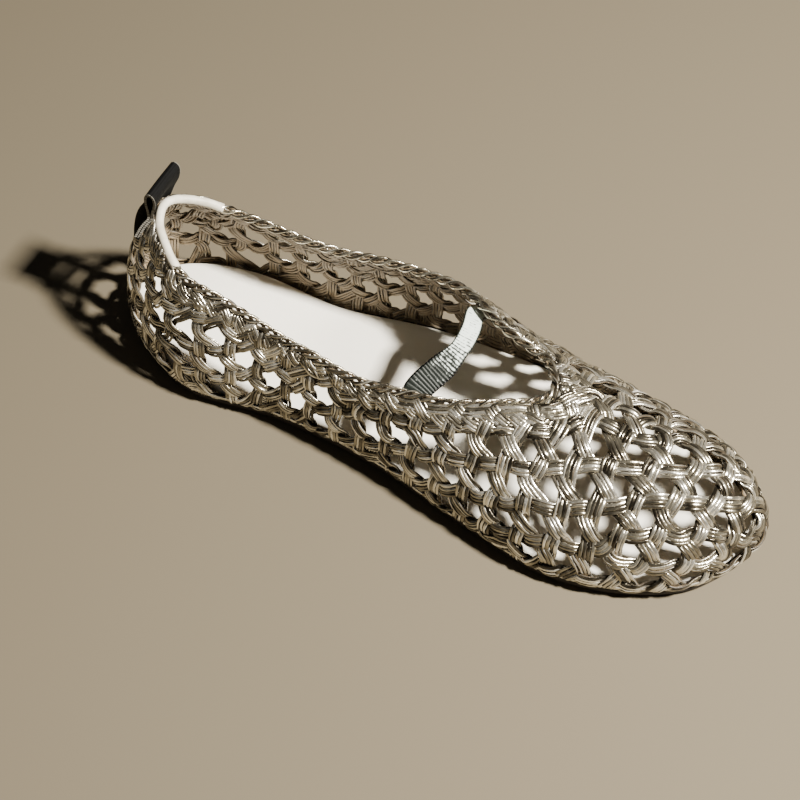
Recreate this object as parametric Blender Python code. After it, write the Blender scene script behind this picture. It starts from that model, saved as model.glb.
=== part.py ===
"""Woven mary jane flat, left shoe: outsole, insole, woven upper, plaited collar edge, elastic strap, pull loop.

The model is in metres with +Z up, the toe toward +X, the inner ankle toward -Y and the floor at z = 0.
Sizes below are in millimetres, with x measured from the back of the heel."""

import math

import bpy
import numpy as np
from mathutils.geometry import delaunay_2d_cdt

for old in list(bpy.data.objects):
    bpy.data.objects.remove(old, do_unlink=True)

MM = 0.001


def columns(names, rows):
    return {name: np.array([row[i] for row in rows], float) for i, name in enumerate(names)}


# Last
LENGTH = 250.0
TOE_SIDE = -7.0
PLAN = columns(("x", "inner", "outer"), [
    (9, 15.5, 16.0),
    (38, 32.0, 27.4),
    (75, 30.0, 29.6),
    (120, 35.0, 35.5),
    (155, 43.5, 36.1),
    (187, 49.5, 33.0),
    (217, 44.0, 25.6),
    (238, 31.5, 13.0),
])
CROWN = columns(("x", "y", "height"), [
    (28, -0.5, 64.5),
    (60, -1.0, 58.5),
    (90, -0.5, 61.5),
    (120, -1.0, 56.3),
    (150, -1.2, 51.4),
    (175, -4.6, 46.1),
    (205, -8.5, 41.0),
])
# The outer side of the vamp is straighter than an ellipse: 0 is an ellipse, 1 a straight slope
OUTER_SLOPE = columns(("x", "slope"), [
    (105, 0.0),
    (122, 0.0),
    (150, 0.35),
    (205, 0.34),
    (230, 0.2),
    (LENGTH, 0.0),
])
HEEL_TOP, TOE_TOP = CROWN["x"][0], CROWN["x"][-1]
WIDEST = 6.5
CURL_DROP, CURL_IN = 3.2, 1.8
ARCH_FROM, ARCH_TO, ARCH_LIFT = 66.0, 146.0, 1.6
SPRING_FROM, TOE_SPRING = 200.0, 4.5

# Collar line: its height on the inner and on the outer side, then the two corners of the throat
TOPLINE = columns(("x", "inner", "outer"), [
    (10, 55.0, 54.0),
    (34, 48.2, 45.0),
    (50, 45.2, 42.2),
    (63, 41.2, 40.8),
    (83, 37.8, 38.8),
    (104, 36.0, 39.5),
    (123, 38.6, 41.6),
    (139, 41.0, 45.6),
    (154, 44.4, 45.2),
])
HEEL_BACK = 58.0
THROAT_INNER, THROAT_OUTER = (172.6, -9.8), (162.4, 9.2)

# Woven wall: on the vamp the gaps are farther apart, and farther from the rim, than on the quarters
WALL = 2.0
QUARTER_X, VAMP_X = 100.0, 180.0
QUARTER_PITCH, PITCH = 11.9, 13.2
QUARTER_BAND, VAMP_BAND = 6.6, 8.6
STRAND = 4.4
RAISED = 0.7
FOOT_BAND = 1.8
LEAST_GAP = 0.57

# Other pieces
GAP = 0.3
SOLE = 3.0
SOLE_EDGE = columns(("inset", "z"), [(2.4, 0.0), (1.5, 0.8), (1.3, 2.3), (1.7, 3.0)])
SOCK, HEEL_PAD, PAD_FROM, PAD_TO = 1.6, 6.5, 80.0, 20.0
SOCK_EDGE = columns(("inset", "z"), [(3.7, 0.0), (3.7, 1.1), (4.2, 1.6)])
BRAID_WIDE, BRAID_TALL = 4.0, 3.4
BINDING_WIDE, BINDING_IN, BINDING_HALF = 3.0, 0.5, 27.0
STRAP_WIDE, STRAP_DRAWN, STRAP_THICK = 10.0, 7.0, 1.2
STRAP_INNER_X, STRAP_OUTER_X, STRAP_MIDDLE = 127.0, 133.5, (135.5, -3.0, 46.0)
LOOP_WIDE, LOOP_THICK, LOOP_TOP, LOOP_X = 18.0, 0.9, 72.0, 18.3
LOOP_FOOT = 0.86
LOOP_LEGS = columns(("below", "inner", "outer"), [
    (8.8, 1.6, 2.85),
    (5.2, 1.6, 2.85),
    (1.8, 1.5, 2.75),
    (-1.8, 1.25, 2.5),
])
LOOP_HEAD = columns(("up", "forward", "half_gap"), [
    (0.3, 0.42, 0.85),
    (0.56, 0.74, 1.6),
    (0.8, 0.93, 1.75),
    (0.94, 1.0, 1.25),
    (1.0, 1.0, 0.0),
])


def smooth(x, xs, ys):
    """A curve through the rows of a table, with the slope of its neighbours at each row."""
    slope = np.gradient(ys, xs)
    i = np.clip(np.searchsorted(xs, x) - 1, 0, len(xs) - 2)
    h = xs[i + 1] - xs[i]
    t = np.clip((x - xs[i]) / h, 0, 1)
    start = (1 + 2 * t) * (1 - t) ** 2 * ys[i] + t * (1 - t) ** 2 * h * slope[i]
    return start + t * t * (3 - 2 * t) * ys[i + 1] + t * t * (t - 1) * h * slope[i + 1]


def spline(points, per, closed):
    """Centripetal curve through the points, with per steps from each point to the next."""
    p = np.asarray(points, float)
    if closed:
        p = np.vstack([p[-1:], p, p[:2]])
    else:
        p = np.vstack([2 * p[:1] - p[1:2], p, 2 * p[-1:] - p[-2:-1]])
    made = []
    for a, b, c, d in zip(p, p[1:], p[2:], p[3:]):
        t1 = np.linalg.norm(b - a) ** 0.5
        t2 = t1 + np.linalg.norm(c - b) ** 0.5
        t3 = t2 + np.linalg.norm(d - c) ** 0.5
        t = np.linspace(t1, t2, per, endpoint=False)[:, None]
        ab = ((t1 - t) * a + t * b) / t1
        bc = ((t2 - t) * b + (t - t1) * c) / (t2 - t1)
        cd = ((t3 - t) * c + (t - t2) * d) / (t3 - t2)
        first = ((t2 - t) * ab + t * bc) / t2
        second = ((t3 - t) * bc + (t - t1) * cd) / (t3 - t1)
        made.append(((t2 - t) * first + (t - t1) * second) / (t2 - t1))
    if not closed:
        made.append(p[-2:-1])
    return np.vstack(made)


def evenly(curve, count, closed=True):
    """The curve walked in equal steps."""
    run = np.vstack([curve, curve[:1]]) if closed else curve
    at = np.r_[0, np.cumsum(np.linalg.norm(np.diff(run, axis=0), axis=1))]
    steps = np.linspace(0, at[-1], count, endpoint=not closed)
    return np.stack([np.interp(steps, at, run[:, k]) for k in range(run.shape[1])], -1)


def unit(v):
    return v / np.maximum(np.linalg.norm(v, axis=-1, keepdims=True), 1e-12)


inner_side = list(zip(PLAN["x"], -PLAN["inner"]))
outer_side = list(zip(PLAN["x"], PLAN["outer"]))[::-1]
OUTLINE = evenly(spline([(0, 0)] + inner_side + [(LENGTH, TOE_SIDE)] + outer_side, 24, True), 720)


def outline(u):
    at = np.arange(len(OUTLINE)) / len(OUTLINE)
    return np.stack([np.interp(u, at, OUTLINE[:, k], period=1) for k in (0, 1)], -1)


FINE = np.arange(4000) / 4000
FINE_P = outline(FINE)
TOE_U = FINE[FINE_P[:, 0].argmax()]


def crown(x):
    """The point of the crown line that the section at x climbs to, and its height."""
    x = np.clip(x, HEEL_TOP, TOE_TOP)
    return np.stack([x, smooth(x, CROWN["x"], CROWN["y"])], -1), smooth(x, CROWN["x"], CROWN["height"])


def power(u):
    """The power of the section's curve: 1 is an ellipse, more is straighter."""
    x = outline(u)[..., 0]
    return 1 + np.where(np.asarray(u) % 1 > TOE_U, smooth(x, OUTER_SLOPE["x"], OUTER_SLOPE["slope"]), 0.0)


def lift(x):
    """How far the bottom is off the floor: the arch and the toe spring."""
    arch = np.clip((x - ARCH_FROM) / (ARCH_TO - ARCH_FROM), 0, 1)
    toe = np.clip((x - SPRING_FROM) / (LENGTH - SPRING_FROM), 0, 1)
    return ARCH_LIFT * np.sin(np.pi * arch) ** 2 + TOE_SPRING * toe ** 2


def girth(u):
    """Length of the section from its widest line up to the crown."""
    p = outline(u)
    c, height = crown(p[..., 0])
    a, b = np.linalg.norm(c - p, axis=-1), height - WIDEST
    return np.pi / 4 * (3 * (a + b) - np.sqrt((3 * a + b) * (a + 3 * b)))


def bare(u, rise):
    """The last: rise is 0 at the widest line, 1 at the crown, and below 0 where the wall curls under."""
    p = outline(u)
    c, height = crown(p[..., 0])
    turn = np.clip(rise, 0, 1) * np.pi / 2
    curl = np.clip(-rise, 0, None) * girth(u) / CURL_DROP
    inward = 1 - np.cos(turn) ** power(u)
    flat = p + (c - p) * inward[..., None] + unit(c - p) * (CURL_IN * curl ** 2)[..., None]
    z = WIDEST + (height - WIDEST) * np.sin(turn) ** power(u) - CURL_DROP * curl + lift(flat[..., 0])
    return np.concatenate([flat, z[..., None]], -1)


def along(u, rise):
    return unit(bare(u + 2e-4, rise) - bare(u - 2e-4, rise))


def upward(u, rise):
    return unit(bare(u, rise + 2e-3) - bare(u, rise - 2e-3))


def skin(u, rise, out=0.0):
    """A point of the last, moved out along its normal."""
    u, rise = np.asarray(u, float), np.minimum(np.asarray(rise, float), 0.99)
    normal = unit(np.cross(along(u, rise), upward(u, rise)))
    return bare(u, rise) + normal * np.asarray(out, float)[..., None]


def unroll(u, rise):
    """The wall laid flat: each section runs out from the crown line, fanned round the heel and the toe."""
    p = outline(u)
    c, _ = crown(p[..., 0])
    return c + unit(p - c) * (girth(u) * (1 - rise))[..., None]


def side_place(x, side):
    """The u of the outline where one of its sides passes x."""
    near, far = FINE < TOE_U, FINE >= TOE_U
    if side < 0:
        return np.interp(x, FINE_P[near, 0], FINE[near])
    return np.interp(x, FINE_P[far, 0][::-1], FINE[far][::-1])


def roll(flat):
    """The place on the last, as u and rise, of a point of the unrolled wall."""
    c, _ = crown(flat[..., 0])
    x, side = flat[..., 0], flat[..., 1] - c[..., 1]
    u = np.where(side < 0, side_place(x, -1.0), side_place(x, 1.0))
    for end, sign, middle in ((HEEL_TOP, -1, 0.0), (TOE_TOP, 1, TOE_U)):
        fan = (middle + np.linspace(-0.25, 0.25, 2001))
        p = outline(fan)
        keep = (p[:, 0] - end) * sign > -1.0
        centre = crown(np.array(end))[0]
        turn = np.arctan2((p[keep, 1] - centre[1]) * sign, (p[keep, 0] - end) * sign)
        here = np.arctan2(side * sign, (x - end) * sign)
        u = np.where((x - end) * sign > 0, np.interp(here, turn, fan[keep]) % 1, u)
    return u, 1 - np.linalg.norm(flat - c, axis=-1) / girth(u)


def collar_place(x, z, side):
    u = side_place(x, side)
    climb = (z - WIDEST - lift(x)) / (crown(x)[1] - WIDEST)
    return u, np.arcsin(climb ** (1 / power(u))) * 2 / np.pi


def throat_place(corner):
    x, y = np.array(corner[0]), corner[1]
    side = -1.0 if y < 0 else 1.0
    u = side_place(x, side)
    p, c = outline(u), crown(x)[0]
    left = 1 - (y - p[..., 1]) / (c[..., 1] - p[..., 1])
    return u, np.arccos(left ** (1 / power(u))) * 2 / np.pi


heel_rise = math.asin((HEEL_BACK - WIDEST) / (CROWN["height"][0] - WIDEST)) * 2 / math.pi
inner_line = unroll(*collar_place(TOPLINE["x"], TOPLINE["inner"], -1.0))
outer_line = unroll(*collar_place(TOPLINE["x"], TOPLINE["outer"], 1.0))[::-1]
throat = [unroll(*throat_place(corner)) for corner in (THROAT_INNER, THROAT_OUTER)]
heel_flat = unroll(np.array(0.0), np.array(heel_rise))
COLLAR = evenly(spline([heel_flat, *inner_line, *throat, *outer_line], 16, True), 112)


def within(points, loop):
    """Which points lie inside a closed loop."""
    x, y = points[:, 0], points[:, 1]
    found = np.zeros(len(points), bool)
    for (ax, ay), (bx, by) in zip(loop, np.roll(loop, -1, 0)):
        crosses = (ay > y) != (by > y)
        found ^= crosses & (x < (bx - ax) * (y - ay) / (by - ay + 1e-12) + ax)
    return found


def vamp_share(x):
    """How much of the way from the quarters to the vamp x is."""
    share = np.clip((np.asarray(x) - QUARTER_X) / (VAMP_X - QUARTER_X), 0, 1)
    return share * share * (3 - 2 * share)


def pitch(x):
    """The distance between neighbouring gaps."""
    return QUARTER_PITCH + (PITCH - QUARTER_PITCH) * vamp_share(x)


def weave():
    """Centres of the gaps of the basket weave, and the triangles that join neighbouring gaps."""
    step = 1.6
    gx, gy = np.meshgrid(np.arange(-62, 294, step), np.arange(-102, 100, step), indexing="ij")
    grid = np.stack([gx, gy], -1)
    shape = gx.shape
    u, rise = roll(grid.reshape(-1, 2))
    below = np.clip(-rise, 0, None) * girth(u)
    body = bare(u, np.clip(rise, 0, 0.995))
    body[:, 2] -= below
    rim = bare(*roll(COLLAR))
    far = np.sqrt(((body[:, None] - rim[None]) ** 2).sum(-1).min(1))
    use = (below < PITCH) & (~within(grid.reshape(-1, 2), COLLAR) | (far < 1.1 * PITCH))
    solid = body.reshape(*shape, 3)
    area = np.linalg.norm(np.cross(np.gradient(solid, axis=0), np.gradient(solid, axis=1)), axis=-1).reshape(-1)
    flat, body, area = grid.reshape(-1, 2)[use], body[use], np.minimum(area[use], 4 * step * step)
    area = area / pitch(flat[:, 0]) ** 2

    stations = [TOE_TOP - 12 + 8 * PITCH * math.sqrt(3) / 2]
    while stations[-1] > -62:
        stations.append(stations[-1] - pitch(stations[-1]) * math.sqrt(3) / 2)
    start = []
    for column, x in enumerate(stations):
        start += [(x, (row + column % 2 / 2) * pitch(x) + crown(x)[0][1]) for row in range(-9, 10)]
    start = np.array(start)
    nearest = ((start[:, None] - flat[None]) ** 2).sum(-1)
    inside = nearest.min(1) < step * step
    start, nearest = start[inside], nearest[inside].argmin(1)
    order = np.argsort(np.linalg.norm(start - crown(start[:, 0])[0], axis=1))
    seeds = []
    for i in order:
        place = body[nearest[i]]
        if all(np.linalg.norm(place - body[nearest[j]]) > 0.8 * pitch(start[i, 0]) for j in seeds):
            seeds.append(i)
    seeds = start[seeds]
    for _ in range(14):
        u, rise = roll(seeds)
        places = bare(u, np.clip(rise, 0, 0.995))
        places[:, 2] -= np.clip(-rise, 0, None) * girth(u)
        owner = ((body[:, None] - places[None]) ** 2).sum(-1).argmin(1)
        total = np.bincount(owner, area, len(seeds))
        seeds = np.stack([np.bincount(owner, area * flat[:, k], len(seeds)) for k in (0, 1)], -1)
        seeds = seeds / np.maximum(total, 1e-9)[:, None]
    label = np.full(use.shape, -1)
    label[use] = owner
    label = label.reshape(shape)
    a, b, c, d = label[:-1, :-1], label[1:, :-1], label[1:, 1:], label[:-1, 1:]
    corners = np.vstack([np.stack([a, b, c], -1).reshape(-1, 3), np.stack([a, c, d], -1).reshape(-1, 3)])
    corners = corners[(corners >= 0).all(1)]
    corners = np.sort(corners, axis=1)
    corners = np.unique(corners[(corners[:, 0] < corners[:, 1]) & (corners[:, 1] < corners[:, 2])], axis=0)
    return seeds, corners


def gaps(seeds, triangles):
    """The outline of each gap in the unrolled wall, and the places where two strips cross."""
    around = {}
    for tri in triangles:
        for i in range(3):
            around.setdefault(tri[i], set()).update((tri[i - 1], tri[i - 2]))
    crossings = {}
    holes = []
    for i, others in around.items():
        others = sorted(others, key=lambda j: math.atan2(*(seeds[j] - seeds[i])[::-1]))
        middles = np.array([(seeds[i] + seeds[j]) / 2 for j in others])
        for j, middle in zip(others, middles):
            crossings[tuple(sorted((i, j)))] = middle
        if len(others) < 5:
            continue
        spots = bare(*roll(middles))
        centre = spots.mean(0)
        wide = [np.linalg.norm((p + q) / 2 - centre) for p, q in zip(spots, np.roll(spots, -1, 0))]
        holes.append(middles.mean(0) + (middles - middles.mean(0)) * (1 - STRAND / 2 / np.mean(wide)))
    return holes, np.array(list(crossings.values()))


RIM = bare(*roll(COLLAR))


def room(flat, rim_band, foot_band):
    """How far points of the unrolled wall lie clear of the bands beside the rim and the foot."""
    u, rise = roll(flat)
    off_rim = np.linalg.norm(bare(u, np.minimum(rise, 0.99))[:, None] - RIM[None], axis=-1).min(1)
    off_rim = np.where(within(flat, COLLAR), -off_rim, off_rim)
    return np.minimum(off_rim - rim_band, rise * girth(u) - foot_band)


def loop_area(loop):
    x, y = loop[:, 0], loop[:, 1]
    return abs(np.dot(x, np.roll(y, -1)) - np.dot(y, np.roll(x, -1))) / 2


def trim(hole):
    """A gap cut back to the bands beside the rim and the foot, or None where little of it is left."""
    band = QUARTER_BAND + (VAMP_BAND - QUARTER_BAND) * vamp_share(hole[:, 0].mean())
    free = room(hole, band, FOOT_BAND) > 0
    if free.sum() < 3:
        return None
    near, far = np.zeros(len(hole)), np.ones(len(hole))
    middle = hole[free].mean(0)
    for _ in range(18):
        share = (near + far) / 2
        inside = room(hole + (middle - hole) * share[:, None], band, FOOT_BAND) > 0
        near, far = np.where(inside, near, share), np.where(inside, share, far)
    cut = np.where(free[:, None], hole, hole + (middle - hole) * far[:, None])
    return cut if loop_area(cut) > LEAST_GAP * loop_area(hole) else None


def add(name, verts, faces, colour, rough, metal=0.0):
    mesh = bpy.data.meshes.new(name)
    mesh.from_pydata([tuple(v) for v in np.asarray(verts) * MM], [], [tuple(int(i) for i in f) for f in faces])
    mesh.validate()
    obj = bpy.data.objects.new(name, mesh)
    bpy.context.scene.collection.objects.link(obj)
    look = bpy.data.materials.new(name)
    look.use_nodes = True
    shader = look.node_tree.nodes["Principled BSDF"]
    shader.inputs["Base Color"].default_value = (*colour, 1)
    shader.inputs["Roughness"].default_value = rough
    shader.inputs["Metallic"].default_value = metal
    mesh.materials.append(look)
    return obj


def rings(loops, closed_across=False):
    """Faces that join each loop of points to the next one; the last joins the first where it closes."""
    count, n = len(loops), len(loops[0])
    faces = []
    for k in range(count if closed_across else count - 1):
        low, high = k * n, (k + 1) % count * n
        faces += [(low + i, low + (i + 1) % n, high + (i + 1) % n, high + i) for i in range(n)]
    return faces


def inset_line(count, inset):
    """The outline in plan, moved in by inset."""
    u = np.arange(count) / count
    p = outline(u)
    t = unit(outline(u + 1e-3) - outline(u - 1e-3))
    return p + np.stack([-t[:, 1], t[:, 0]], -1) * inset


def slab(name, count, edge, base, pad, colour, rough):
    """A flat layer with the outline of the last: the rows of edge climb its side, and pad thickens its heel."""
    loops = []
    for inset, z in zip(edge["inset"], edge["z"]):
        p = inset_line(count, inset)
        back = np.clip((PAD_FROM - p[:, 0]) / (PAD_FROM - PAD_TO), 0, 1)
        thicker = 1 + pad / edge["z"][-1] * back * back * (3 - 2 * back)
        loops.append(np.c_[p, base + z * thicker + lift(p[:, 0])])
    faces = rings(loops)
    half = count // 2
    top = (len(loops) - 1) * count
    for i in range(half):
        j, k = (count - i) % count, (count - i - 1) % count
        bottom = [i, j, k, i + 1]
        upper = [top + i, top + i + 1, top + k, top + j]
        faces.append(tuple(dict.fromkeys(bottom)))
        faces.append(tuple(dict.fromkeys(upper)))
    return add(name, np.vstack(loops), faces, colour, rough)


def woven_upper():
    foot_u = np.arange(150) / 150
    foot_rise = -CURL_DROP / girth(foot_u)
    foot = unroll(foot_u, foot_rise)
    seeds, triangles = weave()
    holes, crossings = gaps(seeds, triangles)
    holes = [hole for hole in map(trim, holes) if hole is not None]
    crossings = crossings[room(crossings, 2.0, 0.5) > 0]
    points, edges = [], []
    for loop in [foot, COLLAR] + holes:
        first = len(points)
        points += [tuple(p) for p in loop]
        edges += [(first + i, first + (i + 1) % len(loop)) for i in range(len(loop))]
    spare = [c for c in crossings if not any(within(c[None], hole)[0] for hole in holes)]
    bumps = range(len(points), len(points) + len(spare))
    points += [tuple(p) for p in spare]
    flat, _, faces, origin, _, _ = delaunay_2d_cdt(points, edges, [], 0, 1e-5)
    flat = np.array([tuple(p) for p in flat])
    middle = np.array([flat[list(f)].mean(0) for f in faces])
    keep = within(middle, foot) & ~within(middle, COLLAR)
    for hole in holes:
        keep &= ~within(middle, hole)
    faces = [f if np.cross(flat[f[1]] - flat[f[0]], flat[f[2]] - flat[f[0]]) > 0 else f[::-1]
             for f, kept in zip(faces, keep) if kept]
    high = np.array([RAISED if any(o in bumps for o in group) else 0.0 for group in origin])
    u, rise = roll(flat)
    n = len(flat)
    verts = np.vstack([skin(u, rise, high), skin(u, rise, np.full(n, -WALL))])
    sides = {}
    for f in faces:
        for i in range(3):
            pair = (f[i], f[(i + 1) % 3])
            sides[pair] = sides.get(pair, 0) + 1
    solid = list(faces) + [tuple(n + i for i in f[::-1]) for f in faces]
    for a, b in sides:
        if (b, a) not in sides:
            solid.append((b, a, n + a, n + b))
    print("gaps cut", len(holes), "crossings", len(spare))
    return add("upper", verts, solid, (0.30, 0.26, 0.21), 0.32, 0.6)


def collar_line(count):
    flat = evenly(COLLAR, count)
    u, rise = roll(flat)
    middle = skin(u, rise, np.full(count, -WALL / 2))
    run = unit(np.roll(middle, -1, 0) - np.roll(middle, 1, 0))
    normal = unit(skin(u, rise, np.ones(count)) - bare(u, np.minimum(rise, 0.99)))
    normal = unit(normal - run * (normal * run).sum(-1, keepdims=True))
    into = np.cross(normal, run)
    far = np.r_[0, np.cumsum(np.linalg.norm(np.diff(np.vstack([middle, middle[:1]]), axis=0), axis=1))]
    heel = np.clip((BINDING_HALF + 3 - np.minimum(far[:-1], far[-1] - far[:-1])) / 6, 0, 1)[:, None]
    centre = middle + into * (1.5 * GAP + BRAID_TALL / 2) - normal * BINDING_IN * heel
    return centre, normal, into, BRAID_WIDE - (BRAID_WIDE - BINDING_WIDE) * heel


def collar_braid():
    """The rim, which is a narrower binding round the back of the heel."""
    sides = 8
    centre, normal, into, wide = collar_line(len(COLLAR))
    loops = []
    for k in range(sides):
        a = 2 * math.pi * k / sides
        loops.append(centre + normal * (wide / 2 * math.cos(a)) + into * (BRAID_TALL / 2 * math.sin(a)))
    return add("collar_braid", np.vstack(loops), rings(loops, True), (0.32, 0.28, 0.22), 0.35, 0.5)


def ribbon(name, path, wide, thick, across, colour, rough):
    """A flat ribbon along a path: across gives the direction of its width at each point."""
    run = unit(np.gradient(path, axis=0))
    across = unit(across - run * (across * run).sum(-1, keepdims=True))
    up = np.cross(run, across)
    loops = []
    for a, b in ((-1, -1), (1, -1), (1, 1), (-1, 1)):
        loops.append(path + across * (a * wide / 2) + up * (b * thick / 2))
    corner = np.stack(loops, 1)
    faces = rings([c for c in corner])
    last = (len(path) - 1) * 4
    faces += [(3, 2, 1, 0), (last, last + 1, last + 2, last + 3)]
    return add(name, corner.reshape(-1, 3), faces, colour, rough)


def strap():
    """The elastic, drawn narrower where it leaves the inner side."""
    ends = []
    for x, column, side in ((STRAP_INNER_X, "inner", -1.0), (STRAP_OUTER_X, "outer", 1.0)):
        z = smooth(np.array(x), TOPLINE["x"], TOPLINE[column])
        u, rise = collar_place(np.array(x), z, side)
        low = rise - np.array([13.0, 9.0, 5.0, 1.0, -3.0]) / girth(u)
        deep = -WALL - STRAP_THICK / 2 - np.array([1.0, 1.1, 1.4, 1.9, 2.3])
        leg = skin(np.full(5, u), low, deep)
        ends.append((leg, along(u, rise) * -side))
    (near, near_way), (far, far_way) = ends
    path = spline([*near, STRAP_MIDDLE, *far[::-1]], 5, False)
    share = np.linspace(0, 1, len(path))[:, None]
    drawn = np.clip((share - 0.36) / 0.16, 0, 1)
    wide = STRAP_WIDE + (STRAP_DRAWN - STRAP_WIDE) * drawn * drawn * (3 - 2 * drawn)
    return ribbon("strap", path, wide, STRAP_THICK, near_way * (1 - share) + far_way * share,
                  (0.42, 0.45, 0.42), 0.55)


def pull_loop():
    stations = 7
    flat = evenly(COLLAR, 4 * 112)
    body = bare(*roll(flat))
    length = np.linalg.norm(np.diff(np.vstack([body, body[:1]]), axis=0), axis=1)
    at = np.r_[0, np.cumsum(length)]
    spots = np.linspace(-LOOP_WIDE / 2, LOOP_WIDE / 2, stations)
    closed = np.vstack([flat, flat[:1]])
    place = np.stack([np.interp(spots * LOOP_FOOT % at[-1], at, closed[:, k]) for k in (0, 1)], -1)
    u, rise = roll(place)
    g = girth(u)
    half = LOOP_THICK / 2
    back = np.array([-1.0, 0, 0])
    loops = []
    for s, uu, rr, gg in zip(spots, u, rise, g):
        low = rr - LOOP_LEGS["below"] / gg
        outer = skin(np.full(len(low), uu), low, LOOP_LEGS["outer"])
        inner = skin(np.full(len(low), uu), low, LOOP_LEGS["inner"])
        foot = (outer[-1] + inner[-1]) / 2
        head = np.array([LOOP_X, -s, LOOP_TOP - half])
        share = np.stack([LOOP_HEAD["forward"], LOOP_HEAD["forward"], LOOP_HEAD["up"]], -1)
        middle = foot + (head - foot) * share
        gap = back * LOOP_HEAD["half_gap"][:, None]
        loops.append(spline([*outer, *(middle + gap), *(middle - gap)[-2::-1], *inner[::-1]], 2, False))
    path = np.stack(loops, 1)
    run = unit(np.gradient(path, axis=0))
    wide = unit(np.gradient(path, axis=1))
    normal = unit(np.cross(run, wide))
    faces = []
    n = len(path) * stations
    verts = np.vstack([(path + normal * half).reshape(-1, 3), (path - normal * half).reshape(-1, 3)])
    sides = {}
    for i in range(len(path) - 1):
        for j in range(stations - 1):
            a = i * stations + j
            face = (a, a + stations, a + stations + 1, a + 1)
            faces.append(face)
            for k in range(4):
                sides[(face[k], face[(k + 1) % 4])] = 1
    solid = faces + [tuple(n + i for i in f[::-1]) for f in faces]
    for a, b in sides:
        if (b, a) not in sides:
            solid.append((b, a, n + a, n + b))
    return add("pull_loop", verts, solid, (0.02, 0.02, 0.022), 0.7)


made = [
    slab("outsole", 120, SOLE_EDGE, 0.0, 0.0, (0.05, 0.04, 0.035), 0.8),
    slab("insole", 100, SOCK_EDGE, SOLE + GAP, HEEL_PAD, (0.80, 0.77, 0.70), 0.55),
    woven_upper(),
    collar_braid(),
    strap(),
    pull_loop(),
]

# The origin is the bottom centre of the whole shoe
every = np.vstack([[tuple(v.co) for v in obj.data.vertices] for obj in made])
low, high = every.min(0), every.max(0)
move = np.array([(low[0] + high[0]) / 2, (low[1] + high[1]) / 2, low[2]])
for obj in made:
    for v in obj.data.vertices:
        v.co = tuple(np.array(v.co) - move)
    obj.data.update()
print("moved by", [round(float(v) / MM, 3) for v in move])
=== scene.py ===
"""Looks of the woven mary jane flat: strips, plaited rim, insole, sole, elastic strap and ribbon loop.

Lengths in the tables are in millimetres, with x measured from the back of the heel.
The last has the same sizes as that of the solids, so each piece lies where its solid is."""

import math

import bpy
import numpy as np
from mathutils import Matrix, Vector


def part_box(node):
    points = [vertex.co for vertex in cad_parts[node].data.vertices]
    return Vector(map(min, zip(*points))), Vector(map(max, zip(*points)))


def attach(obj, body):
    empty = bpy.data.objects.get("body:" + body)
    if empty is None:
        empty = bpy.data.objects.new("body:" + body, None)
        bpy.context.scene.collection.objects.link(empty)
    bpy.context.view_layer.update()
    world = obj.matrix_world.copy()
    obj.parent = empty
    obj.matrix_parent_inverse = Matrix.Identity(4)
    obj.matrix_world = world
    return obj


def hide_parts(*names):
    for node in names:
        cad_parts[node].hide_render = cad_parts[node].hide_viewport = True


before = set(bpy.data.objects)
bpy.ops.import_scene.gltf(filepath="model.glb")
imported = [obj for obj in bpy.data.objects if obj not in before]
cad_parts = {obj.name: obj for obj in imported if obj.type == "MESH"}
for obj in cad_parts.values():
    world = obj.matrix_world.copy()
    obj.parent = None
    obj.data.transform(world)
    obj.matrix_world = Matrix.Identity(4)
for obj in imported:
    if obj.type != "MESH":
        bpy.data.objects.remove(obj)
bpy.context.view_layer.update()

MM = 0.001
CHANCE = 11
random = np.random.default_rng(CHANCE)


def columns(names, rows):
    return {name: np.array([row[i] for row in rows], float) for i, name in enumerate(names)}


# Last
LENGTH = 250.0
TOE_SIDE = -7.0
PLAN = columns(("x", "inner", "outer"), [
    (9, 15.5, 16.0),
    (38, 32.0, 27.4),
    (75, 30.0, 29.6),
    (120, 35.0, 35.5),
    (155, 43.5, 36.1),
    (187, 49.5, 33.0),
    (217, 44.0, 25.6),
    (238, 31.5, 13.0),
])
CROWN = columns(("x", "y", "height"), [
    (28, -0.5, 64.5),
    (60, -1.0, 58.5),
    (90, -0.5, 61.5),
    (120, -1.0, 56.3),
    (150, -1.2, 51.4),
    (175, -4.6, 46.1),
    (205, -8.5, 41.0),
])
OUTER_SLOPE = columns(("x", "slope"), [
    (105, 0.0),
    (122, 0.0),
    (150, 0.35),
    (205, 0.34),
    (230, 0.2),
    (LENGTH, 0.0),
])
HEEL_TOP, TOE_TOP = CROWN["x"][0], CROWN["x"][-1]
WIDEST = 6.5
CURL_DROP, CURL_IN = 3.2, 1.8
ARCH_FROM, ARCH_TO, ARCH_LIFT = 66.0, 146.0, 1.6
SPRING_FROM, TOE_SPRING = 200.0, 4.5

# Steps of the curves on the last, and the rise at which places stop short of the crown line
OUTLINE_STEPS, OUTLINE_PER, FINE_STEPS = 720, 24, 4000
COLLAR_STEPS, COLLAR_PER, RIM_STEPS = 112, 16, 448
FAN_STEPS, FAN_REACH = 2001, 0.25
SMALL_U, SMALL_RISE, SMALL_TURN = 2e-4, 2e-3, 1e-3
RISE_TOP, NORMAL_TOP, GRID_TOP = 0.99, 0.985, 0.995

# Collar line
TOPLINE = columns(("x", "inner", "outer"), [
    (10, 55.0, 54.0),
    (34, 48.2, 45.0),
    (50, 45.2, 42.2),
    (63, 41.2, 40.8),
    (83, 37.8, 38.8),
    (104, 36.0, 39.5),
    (123, 38.6, 41.6),
    (139, 41.0, 45.6),
    (154, 44.4, 45.2),
])
HEEL_BACK = 58.0
THROAT_INNER, THROAT_OUTER = (172.6, -9.8), (162.4, 9.2)

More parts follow.
